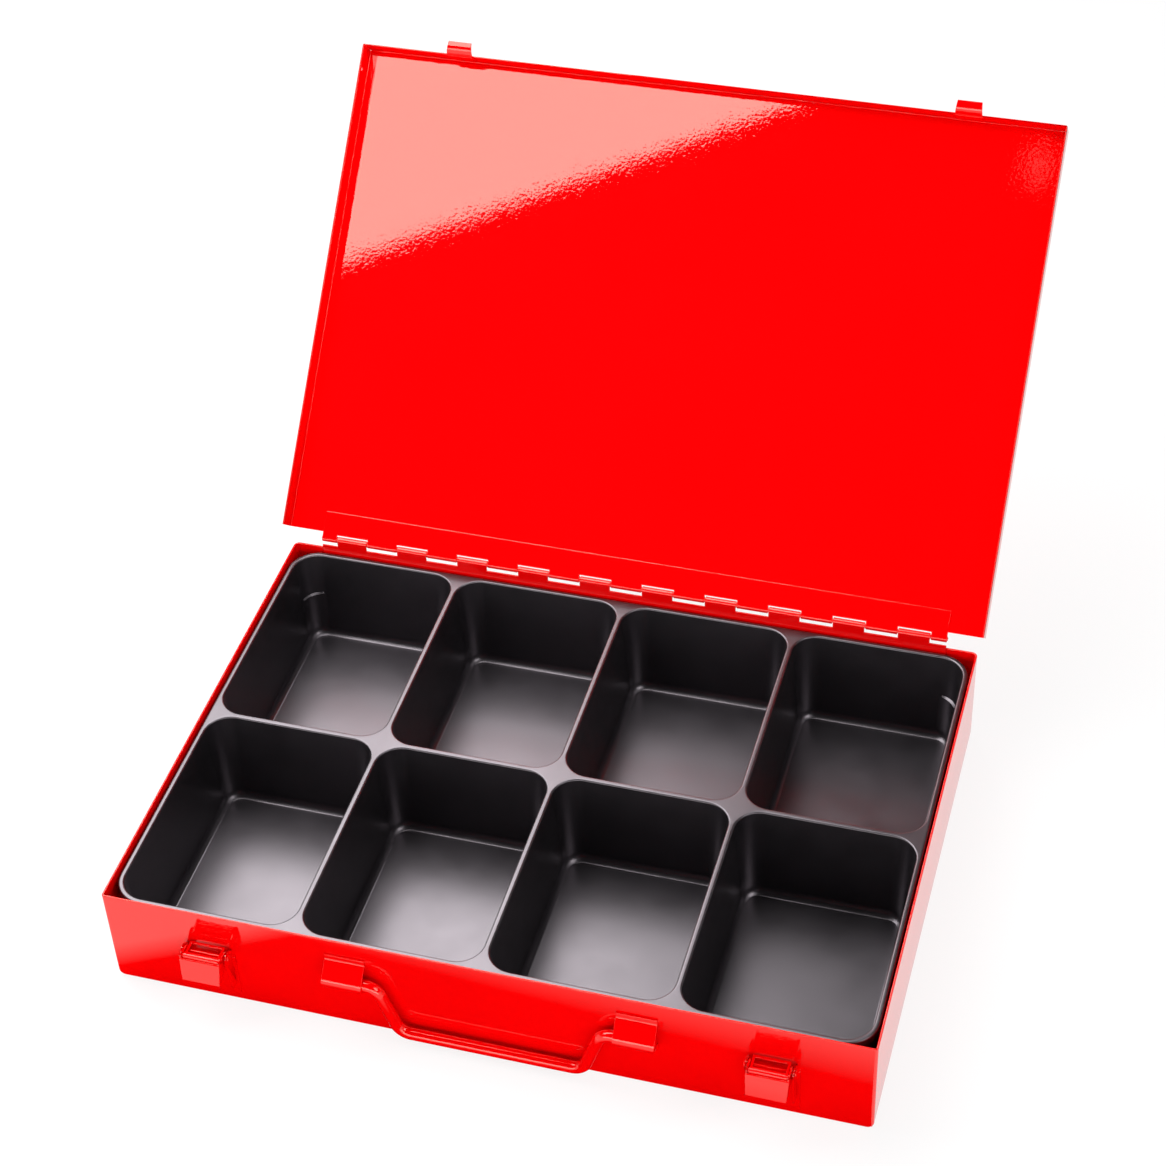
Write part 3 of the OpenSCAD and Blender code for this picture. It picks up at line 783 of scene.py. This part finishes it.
# Handle
def carrying_handle():
    """Round rod bent to a flat grip between two arms, with its ends in the straps"""
    bm = bmesh.new()
    x, y, z = handle_axis
    outer, inner = HANDLE_X + bend_len, GRIP_X - bend_len
    high, low = z - BEND_R, GRIP_Z + BEND_R
    arm_len = math.hypot(HANDLE_X - GRIP_X, z - GRIP_Z) - 2 * bend_len
    arm_x, arm_z = arm_len * math.cos(arm_angle), arm_len * math.sin(arm_angle)
    place = Matrix.Translation((x - outer - STRAP_W, y, z)) @ Matrix.Rotation(math.pi / 2, 4, "Y")
    ring = bmesh.ops.create_circle(bm, segments=ROUND, radius=ROD_R, matrix=place)["verts"]
    loop = run_on(bm, edges_between(ring), (STRAP_W, 0, 0))
    loop = bend_on(bm, loop, (x - outer, y, high), Y_AXIS, arm_angle, ROD_BEND_STEPS)
    loop = run_on(bm, loop, (arm_x, 0, -arm_z))
    loop = bend_on(bm, loop, (x - inner, y, low), Y_AXIS, -arm_angle, ROD_BEND_STEPS)
    loop = run_on(bm, loop, (2 * inner, 0, 0))
    loop = bend_on(bm, loop, (x + inner, y, low), Y_AXIS, -arm_angle, ROD_BEND_STEPS)
    loop = run_on(bm, loop, (arm_x, 0, arm_z))
    loop = bend_on(bm, loop, (x + outer, y, high), Y_AXIS, arm_angle, ROD_BEND_STEPS)
    run_on(bm, loop, (STRAP_W, 0, 0))
    bmesh.ops.holes_fill(bm, edges=[e for e in bm.edges if e.is_boundary], sides=0)
    bmesh.ops.recalc_face_normals(bm, faces=bm.faces)
    soften(bm, sharp_edges(bm), ROD_END_ROUND, ROD_END_STEPS)
    painted("carrying_handle", bm, "handle", "handle_bail")


def handle_strap(side):
    """Strap that slopes from the wall over one end of the handle, curls round it and ends on the wall below"""
    bm = bmesh.new()
    x, y, z = handle_axis
    near = HANDLE_X + bend_len + MOVE_GAP
    x0, x1 = span(x, SIDES[side], near, near + STRAP_W)
    radius = ROD_R + ROD_FIT + STRAP_T / 2
    wall_y = front_y - STRAP_T / 2
    fold_y = wall_y - STRAP_FOLD
    top_z = z + radius + STRAP_T / 2 + STRAP_FOOT
    slope_y = y - wall_y - radius * math.cos(STRAP_LEAN) + STRAP_FOLD * (1 - math.cos(STRAP_LEAN))
    slope_z = slope_y / math.tan(STRAP_LEAN)
    fold_z = z + (radius + STRAP_FOLD) * math.sin(STRAP_LEAN) - slope_z
    toe_z = z - radius - STRAP_FOLD
    strip = cross_edge(bm, x0, x1, wall_y, top_z)
    strip = run_on(bm, strip, (0, 0, fold_z - top_z))
    strip = bend_on(bm, strip, (x, fold_y, fold_z), X_AXIS, -STRAP_LEAN, STRAP_FOLD_STEPS)
    strip = run_on(bm, strip, (0, slope_y, slope_z))
    strip = bend_on(bm, strip, handle_axis, X_AXIS, math.pi / 2 + STRAP_LEAN, STRAP_CURL_STEPS)
    strip = run_on(bm, strip, (0, fold_y - y, 0))
    strip = bend_on(bm, strip, (x, fold_y, toe_z), X_AXIS, -math.pi / 2, STRAP_FOLD_STEPS)
    run_on(bm, strip, (0, 0, -STRAP_TOE))
    painted("handle_strap_" + side, bm, "base", "handle_bracket_" + side, wall=STRAP_T, wall_side=0.0,
            edge=STRAP_EDGE)


# Build the case
base_pan()
lid_panel()
base_hinge()
lid_hinge()
hinge_wire()
tray_insert()
carrying_handle()
for side in SIDES:
    catch(side)
    latch_bracket(side)
    latch_lever(side)
    latch_link(side)
    latch_pins(side)
    handle_strap(side)


# Camera at the photograph's viewing angle
FRAME_PX = 1166
FOCAL_PX = 2642.7
SENSOR_MM = 36.0
CLIP_NEAR = 0.05
CLIP_FAR = 50.0
CAMERA_AT = Vector((0.34251, -1.00155, 1.15489))
AZIMUTH = math.radians(17.776)
ELEVATION = math.radians(41.791)
ROLL = math.radians(-2.814)


def photo_camera():
    """Camera whose turn is given by azimuth, elevation and roll"""
    data = bpy.data.cameras.new("photo_camera")
    data.sensor_width = SENSOR_MM
    data.lens = SENSOR_MM * FOCAL_PX / FRAME_PX
    data.clip_start = CLIP_NEAR
    data.clip_end = CLIP_FAR
    camera = bpy.data.objects.new("photo_camera", data)
    bpy.context.scene.collection.objects.link(camera)
    back = Vector((math.sin(AZIMUTH) * math.cos(ELEVATION), -math.cos(AZIMUTH) * math.cos(ELEVATION),
                   math.sin(ELEVATION)))
    level = Vector((math.cos(AZIMUTH), math.sin(AZIMUTH), 0))
    upward = back.cross(level)
    right = level * math.cos(ROLL) + upward * math.sin(ROLL)
    up = upward * math.cos(ROLL) - level * math.sin(ROLL)
    turn = Matrix((right, up, back)).transposed()
    camera.matrix_world = Matrix.Translation(CAMERA_AT) @ turn.to_4x4()
    bpy.context.scene.camera = camera


# Studio
SEEN_RAYS = ("Is Camera Ray", "Is Glossy Ray", "Is Transmission Ray")
FLOOR_HALF = 8.0
FLOOR_Z = -0.0003
FLOOR_PAPER = 0.8
FLOOR_LIT = 0.14
FLOOR_GLOW = 0.86
# Black card that paints shade into the front wall's reflection of the floor
CARD_Z = -0.0001
CARD_SHADE_BLACK = 0.004
CARD_REACH = 0.12
CARD_LEFT = 0.051
CARD_LEFT_SLANT = 2.0
CARD_LEFT_SOFT = 0.037
CARD_FRONT_SLANT = -0.066
CARD_FRONT_FROM = 0.078
CARD_FRONT_TO = 0.042
ROOM_FILL = 0.28
BACKDROP_WHITE = 1.0
BACKDROP_TOP = 0.22
CEILING_DARK = 0.004
CEILING_FROM = 0.36
CASE_MIDDLE = (0.0, 0.0, 0.05)


def softbox(name, place, aim, size, radiance, turn=0.0):
    """Rectangular lamp that faces a point and shows as a pale patch in the paint"""
    lamp = bpy.data.lights.new(name, "AREA")
    lamp.shape = "RECTANGLE"
    lamp.size, lamp.size_y = size
    lamp.energy = radiance * math.pi * size[0] * size[1]
    made = bpy.data.objects.new(name, lamp)
    bpy.context.scene.collection.objects.link(made)
    facing = (Vector(aim) - Vector(place)).to_track_quat("-Z", "Y").to_matrix()
    made.matrix_world = Matrix.Translation(place) @ facing.to_4x4() @ Matrix.Rotation(turn, 4, "Z")


def worked_out(nodes, links, rule, first, second):
    """One value from two"""
    made = nodes.new("ShaderNodeMath")
    made.operation = rule
    links.new(first, made.inputs[0])
    links.new(second, made.inputs[1])
    return made.outputs["Value"]


def slanted(nodes, links, value, slant, other):
    """One place plus a share of another, for an edge that runs aslant"""
    made = nodes.new("ShaderNodeMath")
    made.operation = "MULTIPLY_ADD"
    made.inputs[1].default_value = slant
    links.new(value, made.inputs[0])
    links.new(other, made.inputs[2])
    return made.outputs["Value"]


def fade(nodes, links, value, start, end):
    """Let a level rise from 0 to 1 between two places"""
    made = nodes.new("ShaderNodeMapRange")
    made.inputs["From Min"].default_value = start
    made.inputs["From Max"].default_value = end
    links.new(value, made.inputs["Value"])
    return made.outputs["Result"]


def place_along(nodes, links, kind):
    """The parts of a place along X, Y and Z"""
    place = nodes.new("ShaderNodeTexCoord")
    split = nodes.new("ShaderNodeSeparateXYZ")
    links.new(place.outputs[kind], split.inputs[0])
    return [split.outputs[axis] for axis in "XYZ"]


def seen_share(nodes, links):
    """1 for rays that show a surface, straight or mirrored, and 0 for rays that light other surfaces"""
    path = nodes.new("ShaderNodeLightPath")
    share = path.outputs[SEEN_RAYS[0]]
    for ray in SEEN_RAYS[1:]:
        share = worked_out(nodes, links, "MAXIMUM", share, path.outputs[ray])
    return share


def matt(nodes, level):
    """Matt grey surface"""
    made = nodes.new("ShaderNodeBsdfDiffuse")
    made.inputs["Color"].default_value = grey(level)
    return made.outputs[0]


def glowing(nodes, links, level, strength):
    """Pale surface with a faint shadow: part lit by the lamps and part glowing"""
    glow = nodes.new("ShaderNodeEmission")
    glow.inputs["Color"].default_value = grey(1.0)
    glow.inputs["Strength"].default_value = strength
    both = nodes.new("ShaderNodeAddShader")
    links.new(matt(nodes, level), both.inputs[0])
    links.new(glow.outputs[0], both.inputs[1])
    return both.outputs[0]


def chosen(nodes, links, share, first, second):
    """First shader where the share is 0, second where it is 1"""
    mix = nodes.new("ShaderNodeMixShader")
    links.new(share, mix.inputs["Fac"])
    links.new(first, mix.inputs[1])
    links.new(second, mix.inputs[2])
    return mix.outputs[0]


def stage_plane(name, low, high, z):
    """Flat studio surface with an empty material, and that material's nodes and links"""
    bm = bmesh.new()
    made = bmesh.ops.create_grid(bm, x_segments=1, y_segments=1, size=0.5)["verts"]
    bmesh.ops.scale(bm, verts=made, vec=(high[0] - low[0], high[1] - low[1], 1))
    bmesh.ops.translate(bm, verts=made, vec=((low[0] + high[0]) / 2, (low[1] + high[1]) / 2, z))
    mesh = bpy.data.meshes.new(name)
    bm.to_mesh(mesh)
    bm.free()
    surface = bpy.data.objects.new(name, mesh)
    bpy.context.scene.collection.objects.link(surface)
    finish = bpy.data.materials.new(name)
    finish.use_nodes = True
    finish.node_tree.nodes.clear()
    mesh.materials.append(finish)
    return surface, finish.node_tree.nodes, finish.node_tree.links


def white_floor():
    """Plain pale floor, white to the camera and in the paint's mirror, with a faint shadow"""
    corner = (FLOOR_HALF, FLOOR_HALF)
    _, nodes, links = stage_plane("studio_floor", (-FLOOR_HALF, -FLOOR_HALF), corner, FLOOR_Z)
    out = nodes.new("ShaderNodeOutputMaterial")
    paper = matt(nodes, FLOOR_PAPER)
    shown = glowing(nodes, links, FLOOR_LIT, FLOOR_GLOW)
    links.new(chosen(nodes, links, seen_share(nodes, links), paper, shown), out.inputs["Surface"])


def mirrored_shade_card():
    """Painted shade in the front wall's mirror image: a black card off camera with soft slanted edges, seen
    only in reflections, which keeps the front wall's mirror image deep red
    """
    low = (base_low.x - CARD_LEFT, front_y - CARD_REACH)
    card, nodes, links = stage_plane("mirrored_shade_card", low, (base_high.x, front_y), CARD_Z)
    out = nodes.new("ShaderNodeOutputMaterial")
    x, y, _ = place_along(nodes, links, "Object")
    left_edge = slanted(nodes, links, y, CARD_LEFT_SLANT, x)
    left_from = low[0] + CARD_LEFT_SLANT * front_y
    left = fade(nodes, links, left_edge, left_from, left_from + CARD_LEFT_SOFT)
    front_edge = slanted(nodes, links, x, CARD_FRONT_SLANT, y)
    front = fade(nodes, links, front_edge, front_y - CARD_FRONT_FROM, front_y - CARD_FRONT_TO)
    inside = worked_out(nodes, links, "MINIMUM", left, front)
    clear = nodes.new("ShaderNodeBsdfTransparent").outputs[0]
    black = matt(nodes, CARD_SHADE_BLACK)
    links.new(chosen(nodes, links, inside, clear, black), out.inputs["Surface"])
    # Hidden from the camera, from diffuse light and from shadows, so the card only paints shade into
    # reflections
    card.visible_camera = False
    card.visible_diffuse = False
    card.visible_shadow = False


def studio_world():
    """Pale backdrop under a dark ceiling, seen and mirrored alike, and an even fill for the surfaces"""
    world = bpy.data.worlds.new("studio")
    bpy.context.scene.world = world
    world.use_nodes = True
    nodes, links = world.node_tree.nodes, world.node_tree.links
    nodes.clear()
    out = nodes.new("ShaderNodeOutputWorld")
    fill = nodes.new("ShaderNodeBackground")
    fill.inputs["Color"].default_value = grey(1.0)
    fill.inputs["Strength"].default_value = ROOM_FILL
    height = place_along(nodes, links, "Generated")[2]
    shade = ramp(nodes, links, height, grey(BACKDROP_WHITE), grey(CEILING_DARK), BACKDROP_TOP, CEILING_FROM)
    backdrop = nodes.new("ShaderNodeBackground")
    links.new(shade, backdrop.inputs["Color"])
    seen = seen_share(nodes, links)
    links.new(chosen(nodes, links, seen, fill.outputs[0], backdrop.outputs[0]), out.inputs["Surface"])


photo_camera()
white_floor()
mirrored_shade_card()
studio_world()
softbox("overhead_softbox", place=(-0.638, 0.304, 0.90), aim=(-0.638, 0.304, 0.0), size=(1.28, 1.15),
        radiance=6.0, turn=math.radians(28.5))
softbox("side_softbox", place=(1.25, -0.42, 1.20), aim=CASE_MIDDLE, size=(0.7, 0.7), radiance=5.0)
softbox("front_fill", place=(0.2, -2.3, 0.56), aim=CASE_MIDDLE, size=(4.2, 0.8), radiance=3.3)
softbox("room_lamp", place=(0.06, -0.636, 1.70), aim=(0.204, 0.352, 0.281), size=(0.024, 0.045),
        radiance=0.6)
bpy.context.scene.view_settings.view_transform = "Standard"
